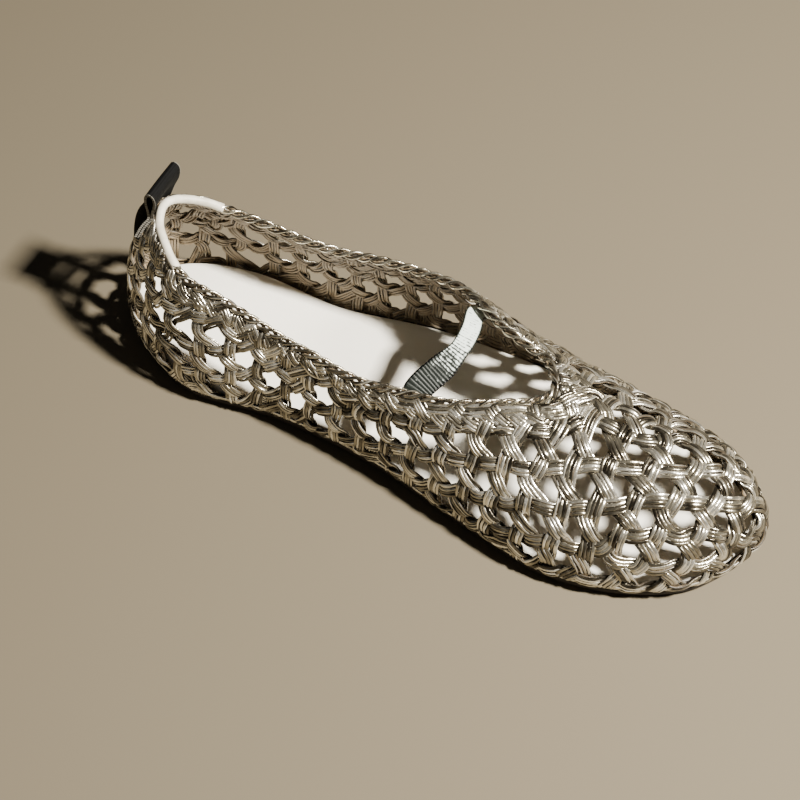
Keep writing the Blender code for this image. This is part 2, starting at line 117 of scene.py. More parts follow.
# Even grid of gaps on the unrolled wall
GRID_STEP, GRID_X, GRID_Y = 1.6, (-62, 294), (-102, 100)
GRID_PAST, LARGEST_CELL = 1.1, 4
ROW_STEP, ROWS = math.sqrt(3) / 2, 9
FIRST_BACK, FIRST_ROWS = 12, 8
SEED_APART, EVEN_ROUNDS = 0.8, 14

# Woven wall
WALL = 2.0
QUARTER_X, VAMP_X, VAMP_FROM = 100.0, 180.0, 140.0
QUARTER_PITCH, PITCH = 11.9, 13.2
QUARTER_BAND, VAMP_BAND = 6.6, 8.6
STRAND = 4.4
FOOT_BAND = 1.8
LEAST_GAP = 0.57
STRIPS, STRAND_WIDE = 4, 5.3
STRIP_WIDE, STRIP_THICK = 1.3, 0.86
STEPS = 5
MIDDLE, WAVE = -0.66, 0.84
TUCK = 1.6
UNEVEN = 0.5
LEVEL_SNAP = 2.2
FOOT_PAST = 0.2
STRAND_CROWN, STRAND_FALL, STRAND_TILT = 0.1, 0.2, 0.26

# Chance along a strip: the points between its knots, and its size
SIDE_DRIFT, LIFT_DRIFT, WIDTH_DRIFT, TILT_DRIFT = (5, 0.1), (4, 0.12), (6, 0.09), (3, 0.42)
RIM_DRIFT, FOOT_DRIFT = (7, 0.12), (6, 0.1)
LEAN_DRIFT, REACH_DRIFT = (11, 0.12), (9, 0.05)

# Strands beside the rim and strips round the foot
RIM_COUNT, RIM_WAVES, RIM_ZIG = 720, 36, 1.7
RIM_SNAP, RIM_LEAST, NO_FOOT = 1.8, 0.3, -99.0
FOOT_COUNT, FOOT_DROPS = 420, (-0.5, -1.7, -2.9)
FOOT_OUT, FOOT_WIDE, FOOT_THICK = -0.15, 1.25, 0.8

# Rim, insole, sole, strap and loop
GAP = 0.3
BRAID_WIDE, BRAID_TALL = 4.0, 3.4
COLLAR_EASE, COLLAR_UP = 12, 1.5
BINDING_WIDE, BINDING_IN, BINDING_HALF = 3.0, 0.5, 27.0
BINDING_COUNT, BINDING_SIDES, BINDING_BLEND = 900, 20, 3
BINDING_END, BINDING_SWELL, BINDING_ROUND = 0.86, 0.16, 2.0
ROPE_COUNT, ROPE_UNDER = 1100, 2
ROPE_PLIES, ROPE_LAY, PLY_OUT, PLY_RADIUS = 3, 15.0, 1.06, 0.72
PLY_TURNS, PLY_STRIP_WIDE, PLY_STRIP_THICK = (-1.35, -0.45, 0.45, 1.35), 0.74, 0.6
PLY_CORE, CORE_STEP = 1.1, 3
SLAB_COUNT, SLAB_SHARP = 240, 50
SOLE = 3.0
SOLE_EDGE = columns(("inset", "z"), [
    (2.6, 0.0),
    (2.0, 0.12),
    (1.55, 0.5),
    (1.35, 1.0),
    (1.3, 2.2),
    (1.4, 2.7),
    (1.75, 3.0),
])
SOCK_EDGE = columns(("inset", "z"), [
    (3.7, 0.0),
    (3.7, 1.1),
    (3.85, 1.45),
    (4.3, 1.6),
    (5.6, 1.55),
    (7.6, 1.4),
    (10.0, 1.3),
])
HEEL_PAD, PAD_FROM, PAD_TO, PAD_CLIMB = 6.5, 80.0, 20.0, 1.1
STRAP_WIDE, STRAP_DRAWN, STRAP_THICK = 10.0, 7.0, 1.2
STRAP_INNER_X, STRAP_OUTER_X, STRAP_MIDDLE = 127.0, 133.5, (135.5, -3.0, 46.0)
STRAP_LEG = columns(("below", "inward"), [
    (13.0, 1.0),
    (9.0, 1.1),
    (5.0, 1.4),
    (1.0, 1.9),
    (-3.0, 2.3),
])
STRAP_EDGE = [
    (-1, 0.2), (-0.97, 0.85), (-0.86, 1.0), (-0.6, 0.9), (-0.3, 0.9), (0, 0.9),
    (0.3, 0.9), (0.6, 0.9), (0.86, 1.0), (0.97, 0.85), (1, 0.2),
]
STRAP_PER, STRAP_EASE = 24, 1500
FREE_FROM, FREE_BLEND = 0.3, 0.08
DRAWN_FROM, DRAWN_OVER = 0.36, 0.16
RIB, RIB_STEPS, RIB_LOW = 1.25, 6, 0.86
LOOP_WIDE, LOOP_THICK, LOOP_TOP, LOOP_X = 18.0, 0.9, 72.0, 18.3
LOOP_FOOT, LOOP_STATIONS, LOOP_PER, LOOP_SHARP = 0.86, 19, 8, 60
LOOP_LEGS = columns(("below", "inner", "outer"), [
    (8.8, 1.6, 2.85),
    (5.2, 1.6, 2.85),
    (1.8, 1.5, 2.75),
    (-1.8, 1.25, 2.5),
])
LOOP_HEAD = columns(("up", "forward", "half_gap"), [
    (0.3, 0.42, 0.85),
    (0.56, 0.74, 1.6),
    (0.8, 0.93, 1.75),
    (0.94, 1.0, 1.25),
    (1.0, 1.0, 0.0),
])

# Camera, fitted to the photograph's perspective
VIEW_AROUND, VIEW_UP, VIEW_ROLL = 25.3, 51.7, 0.5
VIEW_AWAY, VIEW_TARGET = 724.0, (110.5, -0.6, 0.0)
VIEW_LENS, VIEW_SENSOR = 90.0, 36.0

# Floor and light
FLOOR_SIZE, FLOOR_TONE, FLOOR_ROUGH = 6.0, (0.12, 0.099, 0.064, 1), 0.8
WORLD_TONE, WORLD_STRENGTH = (1.0, 0.96, 0.90, 1), 0.032
KEY = dict(place=(0.66, 0.02, 0.88), watts=60.0, size=0.10, colour=(1.0, 0.95, 0.86))
FILL = dict(place=(-0.3, -0.9, 0.7), watts=0.3, size=0.5, colour=(0.97, 0.97, 1.0))

# The places of the two colours and of the result among a colour mix's sockets
MIX_FIRST, MIX_SECOND, MIX_RESULT = 6, 7, 2


def smooth(x, xs, ys):
    """A curve through the rows of a table, with the slope of its neighbours at each row."""
    slope = np.gradient(ys, xs)
    i = np.clip(np.searchsorted(xs, x) - 1, 0, len(xs) - 2)
    h = xs[i + 1] - xs[i]
    t = np.clip((x - xs[i]) / h, 0, 1)
    start = (1 + 2 * t) * (1 - t) ** 2 * ys[i] + t * (1 - t) ** 2 * h * slope[i]
    return start + t * t * (3 - 2 * t) * ys[i + 1] + t * t * (t - 1) * h * slope[i + 1]


def spline(points, per, closed):
    """Centripetal curve through the points, with per steps from each point to the next."""
    p = np.asarray(points, float)
    if closed:
        p = np.vstack([p[-1:], p, p[:2]])
    else:
        p = np.vstack([2 * p[:1] - p[1:2], p, 2 * p[-1:] - p[-2:-1]])
    made = []
    for a, b, c, d in zip(p, p[1:], p[2:], p[3:]):
        t1 = np.linalg.norm(b - a) ** 0.5
        t2 = t1 + np.linalg.norm(c - b) ** 0.5
        t3 = t2 + np.linalg.norm(d - c) ** 0.5
        t = np.linspace(t1, t2, per, endpoint=False)[:, None]
        ab = ((t1 - t) * a + t * b) / t1
        bc = ((t2 - t) * b + (t - t1) * c) / (t2 - t1)
        cd = ((t3 - t) * c + (t - t2) * d) / (t3 - t2)
        first = ((t2 - t) * ab + t * bc) / t2
        second = ((t3 - t) * bc + (t - t1) * cd) / (t3 - t1)
        made.append(((t2 - t) * first + (t - t1) * second) / (t2 - t1))
    if not closed:
        made.append(p[-2:-1])
    return np.vstack(made)


def run_along(line):
    """The distance run from the first point of a line to each of its points."""
    return np.r_[0, np.cumsum(np.linalg.norm(np.diff(line, axis=0), axis=1))]


def evenly(curve, count, closed=True):
    """The curve walked in equal steps."""
    run = np.vstack([curve, curve[:1]]) if closed else curve
    at = run_along(run)
    steps = np.linspace(0, at[-1], count, endpoint=not closed)
    return np.stack([np.interp(steps, at, run[:, k]) for k in range(run.shape[1])], -1)


def unit(v):
    return v / np.maximum(np.linalg.norm(v, axis=-1, keepdims=True), 1e-12)


inner_side = list(zip(PLAN["x"], -PLAN["inner"]))
outer_side = list(zip(PLAN["x"], PLAN["outer"]))[::-1]
plan = [(0, 0)] + inner_side + [(LENGTH, TOE_SIDE)] + outer_side
OUTLINE = evenly(spline(plan, OUTLINE_PER, True), OUTLINE_STEPS)


def outline(u):
    at = np.arange(len(OUTLINE)) / len(OUTLINE)
    return np.stack([np.interp(u, at, OUTLINE[:, k], period=1) for k in (0, 1)], -1)


FINE = np.arange(FINE_STEPS) / FINE_STEPS
FINE_P = outline(FINE)
TOE_U = FINE[FINE_P[:, 0].argmax()]


def crown(x):
    """The point of the crown line that the section at x climbs to, and its height."""
    x = np.clip(x, HEEL_TOP, TOE_TOP)
    place = np.stack([x, smooth(x, CROWN["x"], CROWN["y"])], -1)
    return place, smooth(x, CROWN["x"], CROWN["height"])


def power(u):
    """The power of the section's curve: 1 is an ellipse, more is straighter."""
    slope = smooth(outline(u)[..., 0], OUTER_SLOPE["x"], OUTER_SLOPE["slope"])
    return 1 + np.where(np.asarray(u) % 1 > TOE_U, slope, 0.0)


def lift(x):
    """How far the bottom is off the floor: the arch and the toe spring."""
    arch = np.clip((x - ARCH_FROM) / (ARCH_TO - ARCH_FROM), 0, 1)
    toe = np.clip((x - SPRING_FROM) / (LENGTH - SPRING_FROM), 0, 1)
    return ARCH_LIFT * np.sin(np.pi * arch) ** 2 + TOE_SPRING * toe ** 2


def girth(u):
    """Length of the section from its widest line up to the crown."""
    p = outline(u)
    c, height = crown(p[..., 0])
    a, b = np.linalg.norm(c - p, axis=-1), height - WIDEST
    return np.pi / 4 * (3 * (a + b) - np.sqrt((3 * a + b) * (a + 3 * b)))


def bare(u, rise):
    """The last: rise is 0 at the widest line, 1 at the crown, and below 0 where the wall curls under."""
    p = outline(u)
    c, height = crown(p[..., 0])
    turn = np.clip(rise, 0, 1) * np.pi / 2
    curl = np.clip(-rise, 0, None) * girth(u) / CURL_DROP
    inward = 1 - np.cos(turn) ** power(u)
    flat = p + (c - p) * inward[..., None] + unit(c - p) * (CURL_IN * curl ** 2)[..., None]
    z = WIDEST + (height - WIDEST) * np.sin(turn) ** power(u) - CURL_DROP * curl + lift(flat[..., 0])
    return np.concatenate([flat, z[..., None]], -1)


def along(u, rise):
    return unit(bare(u + SMALL_U, rise) - bare(u - SMALL_U, rise))


def upward(u, rise):
    return unit(bare(u, rise + SMALL_RISE) - bare(u, rise - SMALL_RISE))


def outward(u, rise):
    return unit(np.cross(along(u, rise), upward(u, rise)))


def skin(u, rise, out=0.0):
    """A point of the last, moved out along its normal."""
    u, rise = np.asarray(u, float), np.minimum(np.asarray(rise, float), RISE_TOP)
    return bare(u, rise) + outward(u, rise) * np.asarray(out, float)[..., None]


def unroll(u, rise):
    """The wall laid flat: each section runs out from the crown line, fanned round the heel and the toe."""
    p = outline(u)
    c, _ = crown(p[..., 0])
    return c + unit(p - c) * (girth(u) * (1 - rise))[..., None]


def side_place(x, side):
    """The u of the outline where one of its sides passes x."""
    near, far = FINE < TOE_U, FINE >= TOE_U
    if side < 0:
        return np.interp(x, FINE_P[near, 0], FINE[near])
    return np.interp(x, FINE_P[far, 0][::-1], FINE[far][::-1])


def roll(flat):
    """The place on the last, as u and rise, of a point of the unrolled wall."""
    c, _ = crown(flat[..., 0])
    x, side = flat[..., 0], flat[..., 1] - c[..., 1]
    u = np.where(side < 0, side_place(x, -1.0), side_place(x, 1.0))
    for end, sign, middle in ((HEEL_TOP, -1, 0.0), (TOE_TOP, 1, TOE_U)):
        fan = middle + np.linspace(-FAN_REACH, FAN_REACH, FAN_STEPS)
        p = outline(fan)
        keep = (p[:, 0] - end) * sign > -1.0
        centre = crown(np.array(end))[0]
        turn = np.arctan2((p[keep, 1] - centre[1]) * sign, (p[keep, 0] - end) * sign)
        here = np.arctan2(side * sign, (x - end) * sign)
        u = np.where((x - end) * sign > 0, np.interp(here, turn, fan[keep]) % 1, u)
    return u, 1 - np.linalg.norm(flat - c, axis=-1) / girth(u)


def collar_place(x, z, side):
    u = side_place(x, side)
    climb = (z - WIDEST - lift(x)) / (crown(x)[1] - WIDEST)
    return u, np.arcsin(climb ** (1 / power(u))) * 2 / np.pi


def throat_place(corner):
    x, y = np.array(corner[0]), corner[1]
    side = -1.0 if y < 0 else 1.0
    u = side_place(x, side)
    p, c = outline(u), crown(x)[0]
    left = 1 - (y - p[..., 1]) / (c[..., 1] - p[..., 1])
    return u, np.arccos(left ** (1 / power(u))) * 2 / np.pi


heel_rise = math.asin((HEEL_BACK - WIDEST) / (CROWN["height"][0] - WIDEST)) * 2 / math.pi
inner_line = unroll(*collar_place(TOPLINE["x"], TOPLINE["inner"], -1.0))
outer_line = unroll(*collar_place(TOPLINE["x"], TOPLINE["outer"], 1.0))[::-1]
throat = [unroll(*throat_place(corner)) for corner in (THROAT_INNER, THROAT_OUTER)]
heel_flat = unroll(np.array(0.0), np.array(heel_rise))
rim_points = [heel_flat, *inner_line, *throat, *outer_line]
COLLAR = evenly(spline(rim_points, COLLAR_PER, True), COLLAR_STEPS)
RIM = bare(*roll(evenly(COLLAR, RIM_STEPS)))


def within(points, loop):
    """Which points lie inside a closed loop."""
    x, y = points[:, 0], points[:, 1]
    found = np.zeros(len(points), bool)
    for (ax, ay), (bx, by) in zip(loop, np.roll(loop, -1, 0)):
        crosses = (ay > y) != (by > y)
        found ^= crosses & (x < (bx - ax) * (y - ay) / (by - ay + 1e-12) + ax)
    return found


def vamp_share(x):
    """How much of the way from the quarters to the vamp x is."""
    share = np.clip((np.asarray(x) - QUARTER_X) / (VAMP_X - QUARTER_X), 0, 1)
    return share * share * (3 - 2 * share)


def pitch(x):
    """The distance between neighbouring gaps."""
    return QUARTER_PITCH + (PITCH - QUARTER_PITCH) * vamp_share(x)


def weave():
    """Centres of the gaps of the basket weave, and the triangles that join neighbouring gaps."""
    cell = GRID_STEP * GRID_STEP
    gx, gy = np.meshgrid(np.arange(*GRID_X, GRID_STEP), np.arange(*GRID_Y, GRID_STEP), indexing="ij")
    shape = gx.shape
    grid = np.stack([gx, gy], -1).reshape(-1, 2)
    u, rise = roll(grid)
    below = np.clip(-rise, 0, None) * girth(u)
    body = bare(u, np.clip(rise, 0, GRID_TOP))
    body[:, 2] -= below
    rim = bare(*roll(COLLAR))
    far = np.sqrt(((body[:, None] - rim[None]) ** 2).sum(-1).min(1))
    use = (below < PITCH) & (~within(grid, COLLAR) | (far < GRID_PAST * PITCH))
    solid = body.reshape(*shape, 3)
    area = np.cross(np.gradient(solid, axis=0), np.gradient(solid, axis=1))
    area = np.linalg.norm(area, axis=-1).reshape(-1)
    flat, body, area = grid[use], body[use], np.minimum(area[use], LARGEST_CELL * cell)
    area = area / pitch(flat[:, 0]) ** 2

    stations = [TOE_TOP - FIRST_BACK + FIRST_ROWS * PITCH * ROW_STEP]
    while stations[-1] > GRID_X[0]:
        stations.append(stations[-1] - pitch(stations[-1]) * ROW_STEP)
    start = []
    for column, x in enumerate(stations):
        middle = crown(x)[0][1]
        start += [(x, (row + column % 2 / 2) * pitch(x) + middle) for row in range(-ROWS, ROWS + 1)]
    start = np.array(start)
    nearest = ((start[:, None] - flat[None]) ** 2).sum(-1)
    inside = nearest.min(1) < cell
    start, nearest = start[inside], nearest[inside].argmin(1)
    order = np.argsort(np.linalg.norm(start - crown(start[:, 0])[0], axis=1))
    seeds = []
    for i in order:
        place = body[nearest[i]]
        apart = SEED_APART * pitch(start[i, 0])
        if all(np.linalg.norm(place - body[nearest[j]]) > apart for j in seeds):
            seeds.append(i)
    seeds = start[seeds]
    for _ in range(EVEN_ROUNDS):
        u, rise = roll(seeds)
        places = bare(u, np.clip(rise, 0, GRID_TOP))
        places[:, 2] -= np.clip(-rise, 0, None) * girth(u)
        owner = ((body[:, None] - places[None]) ** 2).sum(-1).argmin(1)
        total = np.bincount(owner, area, len(seeds))
        seeds = np.stack([np.bincount(owner, area * flat[:, k], len(seeds)) for k in (0, 1)], -1)
        seeds = seeds / np.maximum(total, 1e-9)[:, None]
    label = np.full(use.shape, -1)
    label[use] = owner
    label = label.reshape(shape)
    a, b, c, d = label[:-1, :-1], label[1:, :-1], label[1:, 1:], label[:-1, 1:]
    corners = [np.stack(three, -1).reshape(-1, 3) for three in ((a, b, c), (a, c, d))]
    corners = np.sort(np.vstack(corners), axis=1)
    corners = corners[(corners >= 0).all(1)]
    apart = (corners[:, 0] < corners[:, 1]) & (corners[:, 1] < corners[:, 2])
    return seeds, np.unique(corners[apart], axis=0)


def inset_line(count, inset):
    """The outline in plan, moved in by inset."""
    u = np.arange(count) / count
    p = outline(u)
    t = unit(outline(u + SMALL_TURN) - outline(u - SMALL_TURN))
    return p + np.stack([-t[:, 1], t[:, 0]], -1) * inset


# The solids are shifted so that the origin is the bottom centre; the outsole's box gives the shift
SOLE_ROUND, SOLE_WIDEST = 120, 1.3
sole_low = inset_line(SOLE_ROUND, SOLE_WIDEST).min(0)
MOVE = np.array([*(sole_low - np.array(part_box("outsole")[0][:2]) / MM), 0.0])


def add_mesh(name, verts, faces, material, slot, **values):
    """A smooth piece on the shoe, with a named value at each point."""
    mesh = bpy.data.meshes.new(name)
    mesh.from_pydata(((np.asarray(verts) - MOVE) * MM).tolist(), [], faces)
    for key, numbers in values.items():
        made = mesh.attributes.new(key, "FLOAT", "POINT")
        made.data.foreach_set("value", np.asarray(numbers, np.float32))
    mesh.shade_smooth()
    mesh.materials.append(material)
    obj = bpy.data.objects.new(name, mesh)
    bpy.context.scene.collection.objects.link(obj)
    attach(obj, "root")
    return obj


# Strips of leather: a rounded flat section swept along a path
STRIP_SECTION = np.array([
    (1.0, 0.0), (0.86, 0.62), (0.45, 0.94), (-0.45, 0.94),
    (-0.86, 0.62), (-1.0, 0.0), (-0.7, -0.9), (0.7, -0.9),
])


def sweep(paths, section):
    """Joined strips: each path holds its centre, outward normal, width, thickness, roll and tone."""
    verts, faces, tones, runs, sides, bares = [], [], [], [], [], []
    first, n = 0, len(section)
    for path in paths:
        centre, normal = path["centre"], path["normal"]
        tangent = unit(np.gradient(centre, axis=0))
        across = unit(np.cross(normal, tangent))
        normal = np.cross(tangent, across)
        tilt = np.broadcast_to(path.get("tilt", 0.0), len(centre))[:, None]
        across, normal = (across * np.cos(tilt) + normal * np.sin(tilt),
                          normal * np.cos(tilt) - across * np.sin(tilt))
        half = np.broadcast_to(path["wide"], len(centre))[:, None, None] / 2
        tall = np.broadcast_to(path["thick"], len(centre))[:, None, None] / 2
        ring = centre[:, None] + across[:, None] * section[None, :, :1] * half
        ring = ring + normal[:, None] * section[None, :, 1:] * tall
        verts.append(ring.reshape(-1, 3))
        count = len(centre)
        at = first + np.arange(count - 1)[:, None] * n + np.arange(n)[None]
        turn = first + np.arange(count - 1)[:, None] * n + (np.arange(n)[None] + 1) % n
        faces += np.stack([at, turn, turn + n, at + n], -1).reshape(-1, 4).tolist()
        faces.append(list(range(first + n - 1, first - 1, -1)))
        faces.append(list(range(first + (count - 1) * n, first + count * n)))
        first += count * n
        tones.append(np.full(count * n, path["tone"]))
        runs.append(np.repeat(run_along(centre), n))
        sides.append(np.tile(section[:, 0], count))
        bares.append(np.tile(section[:, 1], count))
    values = dict(tone=tones, run=runs, side=sides, face=bares)
    return np.vstack(verts), faces, {key: np.hstack(parts) for key, parts in values.items()}


def add_strips(name, paths, material, slot, section=STRIP_SECTION):
    """A piece of swept paths."""
    verts, faces, values = sweep(paths, section)
    return add_mesh(name, verts, faces, material, slot, **values)


def wander(count, every, size):
    """A value that drifts by chance along a strip."""
    knots = random.normal(0, size, count // every + 3)
    return np.interp(np.arange(count) / every, np.arange(len(knots)), knots)


def strand(flat, out):
    """The strips that lie side by side in one strand, from its line on the unrolled wall and its heights."""
    wide = STRAND + (STRAND_WIDE - STRAND) * vamp_share(flat[:, 0])
    strip = STRIP_WIDE * wide / STRAND_WIDE
    u, rise = roll(flat)
    normal = outward(u, np.minimum(rise, NORMAL_TOP))
    centre = skin(u, rise, out)
    smoother = np.array([0.25, 0.5, 0.25])
    for k in range(3):
        line = centre[:, k]
        padded = np.r_[2 * line[:1] - line[1:2], line, 2 * line[-1:] - line[-2:-1]]
        centre[:, k] = line * 0.5 + np.convolve(padded, smoother, "valid") * 0.5
    across = unit(np.cross(normal, unit(np.gradient(centre, axis=0))))
    made = []
    for place in np.linspace(-1, 1, STRIPS):
        offset = place * (wide - strip) / 2 + wander(len(flat), *SIDE_DRIFT)
        rise_up = STRAND_CROWN - STRAND_FALL * place ** 2 + wander(len(flat), *LIFT_DRIFT)
        made.append(dict(
            centre=centre + across * offset[:, None] + normal * rise_up[:, None],
            normal=normal,
            wide=strip * (1 + wander(len(flat), *WIDTH_DRIFT)),
            thick=STRIP_THICK,
            tilt=-STRAND_TILT * place + wander(len(flat), *TILT_DRIFT),
            tone=random.random(),
        ))
    return made


def off_rim(u, rise):
    """How far places on the last are from the rim."""
    place = bare(u, np.minimum(rise, RISE_TOP))
    return np.linalg.norm(place[:, None] - RIM[None], axis=-1).min(1)


def wall_part(flat):
    """Which points of the unrolled wall lie between the rim and the foot, with a tuck under the rim."""
    u, rise = roll(flat)
    tucked = ~within(flat, COLLAR) | (off_rim(u, rise) < TUCK)
    return (rise * girth(u) > -CURL_DROP - FOOT_PAST) & tucked


def runs_of(keep, least=4):
    """The stretches of a line that are kept, as pairs of a start and an end."""
    edges = np.flatnonzero(np.diff(np.r_[0, keep.astype(int), 0]))
    return [(a, b) for a, b in zip(edges[::2], edges[1::2]) if b - a >= least]


SEEDS, TRIANGLES = weave()


def facing(tri):
    a, b, c = SEEDS[list(tri)]
    return tuple(tri) if np.cross(b - a, c - a) > 0 else tuple(tri[::-1])


THIRD = {}
for corner in map(facing, TRIANGLES.tolist()):
    for i in range(3):
        THIRD[(corner[i], corner[(i + 1) % 3])] = corner[(i + 2) % 3]
AROUND = {}
for a, b in THIRD:
    AROUND.setdefault(a, set()).add(b)
    AROUND.setdefault(b, set()).add(a)


def step(state):
    """The next crossing: a state is an edge between two gaps and the gap that the strand bends round."""
    a, b, corner = state
    c = THIRD.get((a, b))
    if c is None:
        return None
    return (a, c, c) if corner == a else (c, b, c)


def crossing_key(state):
    a, b, corner = state
    return (a, b, corner) if a < b else (b, a, a + b - corner)


NUDGE = {pair: random.normal(0, UNEVEN, 2) for pair in sorted(THIRD)}


def crossing(a, b):
    """Where two strands cross between two gaps, a little off the middle."""
    return (SEEDS[a] + SEEDS[b]) / 2 + NUDGE.get((min(a, b), max(a, b)), np.zeros(2))


def strand_lines():
    """Each strand of the open weave as the crossings that it passes, and whether it is over at the first."""
    seen = set()
    lines = []
    for a, b in sorted(THIRD):
        for corner in (a, b):
            if crossing_key((a, b, corner)) in seen:
                continue
            back = [(b, a, a + b - corner)]
            while (ahead := step(back[-1])) and crossing_key(ahead) != crossing_key(back[0]):
                back.append(ahead)
            a2, b2, corner2 = back[-1]
            line = [(b2, a2, a2 + b2 - corner2)]
            seen.add(crossing_key(line[0]))
            while (ahead := step(line[-1])) and crossing_key(ahead) != crossing_key(line[0]):
                line.append(ahead)
                seen.add(crossing_key(ahead))
            lines.append(([crossing(p, q) for p, q, _ in line], line[0][2] == line[0][0]))
    return lines


def room(flat, rim_band, foot_band):
    """How far points of the unrolled wall lie clear of the bands beside the rim and the foot."""
    u, rise = roll(flat)
    far = off_rim(u, rise)
    far = np.where(within(flat, COLLAR), -far, far)
    return np.minimum(far - rim_band, rise * girth(u) - foot_band)


def loop_area(loop):
    x, y = loop[:, 0], loop[:, 1]
    return abs(np.dot(x, np.roll(y, -1)) - np.dot(y, np.roll(x, -1))) / 2


def trim(hole):
    """A gap cut back to the bands beside the rim and the foot, or None where little of it is left."""
    band = QUARTER_BAND + (VAMP_BAND - QUARTER_BAND) * vamp_share(hole[:, 0].mean())
    free = room(hole, band, FOOT_BAND) > 0
    if free.sum() < 3:
        return None
    near, far = np.zeros(len(hole)), np.ones(len(hole))
    middle = hole[free].mean(0)
    for _ in range(18):
        share = (near + far) / 2
        inside = room(hole + (middle - hole) * share[:, None], band, FOOT_BAND) > 0
        near, far = np.where(inside, near, share), np.where(inside, share, far)
    cut = np.where(free[:, None], hole, hole + (middle - hole) * far[:, None])
    return cut if loop_area(cut) > LEAST_GAP * loop_area(hole) else None


def open_gaps():
    """The gaps that stay open: those clear of the rim and of the foot."""
    found = set()
    for i, others in AROUND.items():
        if len(others) < 5:
            continue
        others = sorted(others, key=lambda j: math.atan2(*(SEEDS[j] - SEEDS[i])[::-1]))
        middles = np.array([(SEEDS[i] + SEEDS[j]) / 2 for j in others])
        spots = bare(*roll(middles))
        wide = np.linalg.norm((spots + np.roll(spots, -1, 0)) / 2 - spots.mean(0), axis=1).mean()
        hole = middles.mean(0) + (middles - middles.mean(0)) * (1 - STRAND / 2 / wide)
        if trim(hole) is not None:
            found.add(i)
    return found


def woven_strands(material):
    """The strands of the open weave, over and under by turns, in a front and a back piece."""
    paths = []
    for points, over in strand_lines():
        if len(points) < 3:
            continue
        flat = spline(points, STEPS, False)
        phase = np.arange(len(flat)) / STEPS + (0 if over else 1)
        out = MIDDLE + WAVE * np.tanh(LEVEL_SNAP * np.cos(np.pi * phase)) / math.tanh(LEVEL_SNAP)
        for start, end in runs_of(wall_part(flat)):
            paths += strand(flat[start:end], out[start:end])
    front = [path["centre"][:, 0].mean() > VAMP_FROM for path in paths]
    for name, ahead in (("vamp_strands", True), ("quarter_strands", False)):
        chosen = [path for path, far in zip(paths, front) if far == ahead]
        piece = add_strips(name, chosen, material, "woven_leather")
        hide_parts("upper")


def band_strands(material):
    """Strands that close the weave beside the rim and the foot, through the middle of each gap there."""
    opened = open_gaps()
    paths = []
    for i, others in sorted(AROUND.items()):
        if i in opened or len(others) < 4:
            continue
        turn = {j: math.atan2(*(SEEDS[j] - SEEDS[i])[::-1]) for j in others}
        left = sorted(others, key=turn.get)
        layer = 1
        while len(left) > 1:
            j = left.pop(0)
            k = min(left, key=lambda o: math.cos(turn[o] - turn[j]))
            left.remove(k)
            first, last = (SEEDS[i] + SEEDS[j]) / 2, (SEEDS[i] + SEEDS[k]) / 2
            flat = spline([first, SEEDS[i], last], STEPS, False)
            share = np.sin(np.linspace(0, np.pi, len(flat)))
            out = MIDDLE + WAVE * layer * share
            for start, end in runs_of(wall_part(flat), least=3):
                paths += strand(flat[start:end], out[start:end])
            layer -= 1
    add_strips("band_strands", paths, material, "woven_leather")


def rim_strands(material):
    """Two strands that cross each other beside the rim and close the gaps that reach into its band."""
    line = evenly(COLLAR, RIM_COUNT)
    run = unit(np.roll(line, -1, 0) - np.roll(line, 1, 0))
    outside = np.stack([run[:, 1], -run[:, 0]], -1)
    band = QUARTER_BAND + (VAMP_BAND - QUARTER_BAND) * vamp_share(line[:, 0])
    paths = []
    phase = np.arange(RIM_COUNT) / RIM_COUNT * 2 * np.pi * RIM_WAVES
    for way in (1, -1):
        reach = band - STRAND + way * RIM_ZIG * np.sin(phase)
        away = reach.copy()
        for _ in range(2):
            flat = line + outside * away[:, None]
            away = away * reach / np.maximum(room(flat, 0.0, NO_FOOT), RIM_LEAST)
        flat = np.vstack([flat, flat[:1]])
        out = MIDDLE + way * WAVE * np.tanh(RIM_SNAP * np.cos(np.r_[phase, 0.0]))
        out = out + wander(RIM_COUNT + 1, *RIM_DRIFT)
        paths += strand(flat, np.clip(out, MIDDLE - WAVE, MIDDLE + WAVE))
    add_strips("rim_strands", paths, material, "woven_leather")


def foot_strips(material):
    """Strips that run round the foot of the wall, where the strands turn under."""
    u = np.arange(FOOT_COUNT + 1) / FOOT_COUNT
    paths = []
    for drop in FOOT_DROPS:
        rise = np.full(len(u), drop) / girth(u)
        paths.append(dict(
            centre=skin(u, rise, np.full(len(u), FOOT_OUT)),
            normal=outward(u, rise),
            wide=FOOT_WIDE,
            thick=FOOT_THICK,
            tilt=wander(len(u), *FOOT_DRIFT),
            tone=random.random(),
        ))
    add_strips("foot_strips", paths, material, "woven_leather")


def collar_line(count):
    """The middle of the rim, its directions, its width and the distance run from the back of the heel."""
    flat = evenly(COLLAR, count)
    u, rise = roll(flat)
    middle = skin(u, rise, np.full(count, -WALL / 2))
    normal = unit(skin(u, rise, np.ones(count)) - bare(u, np.minimum(rise, RISE_TOP)))
    for _ in range(COLLAR_EASE):
        middle = (np.roll(middle, -2, 0) + middle * 2 + np.roll(middle, 2, 0)) / 4
        normal = unit(np.roll(normal, -2, 0) + normal * 2 + np.roll(normal, 2, 0))
    run = unit(np.roll(middle, -1, 0) - np.roll(middle, 1, 0))
    normal = unit(normal - run * (normal * run).sum(-1, keepdims=True))
    into = np.cross(normal, run)
    far = run_along(np.vstack([middle, middle[:1]]))
    off_heel = np.minimum(far[:-1], far[-1] - far[:-1])
    heel = np.clip((BINDING_HALF + BINDING_BLEND - off_heel) / (2 * BINDING_BLEND), 0, 1)[:, None]
    centre = middle + into * (COLLAR_UP * GAP + BRAID_TALL / 2) - normal * BINDING_IN * heel
    wide = (BRAID_WIDE - (BRAID_WIDE - BINDING_WIDE) * heel)[:, 0]
    return centre, normal, into, wide, far


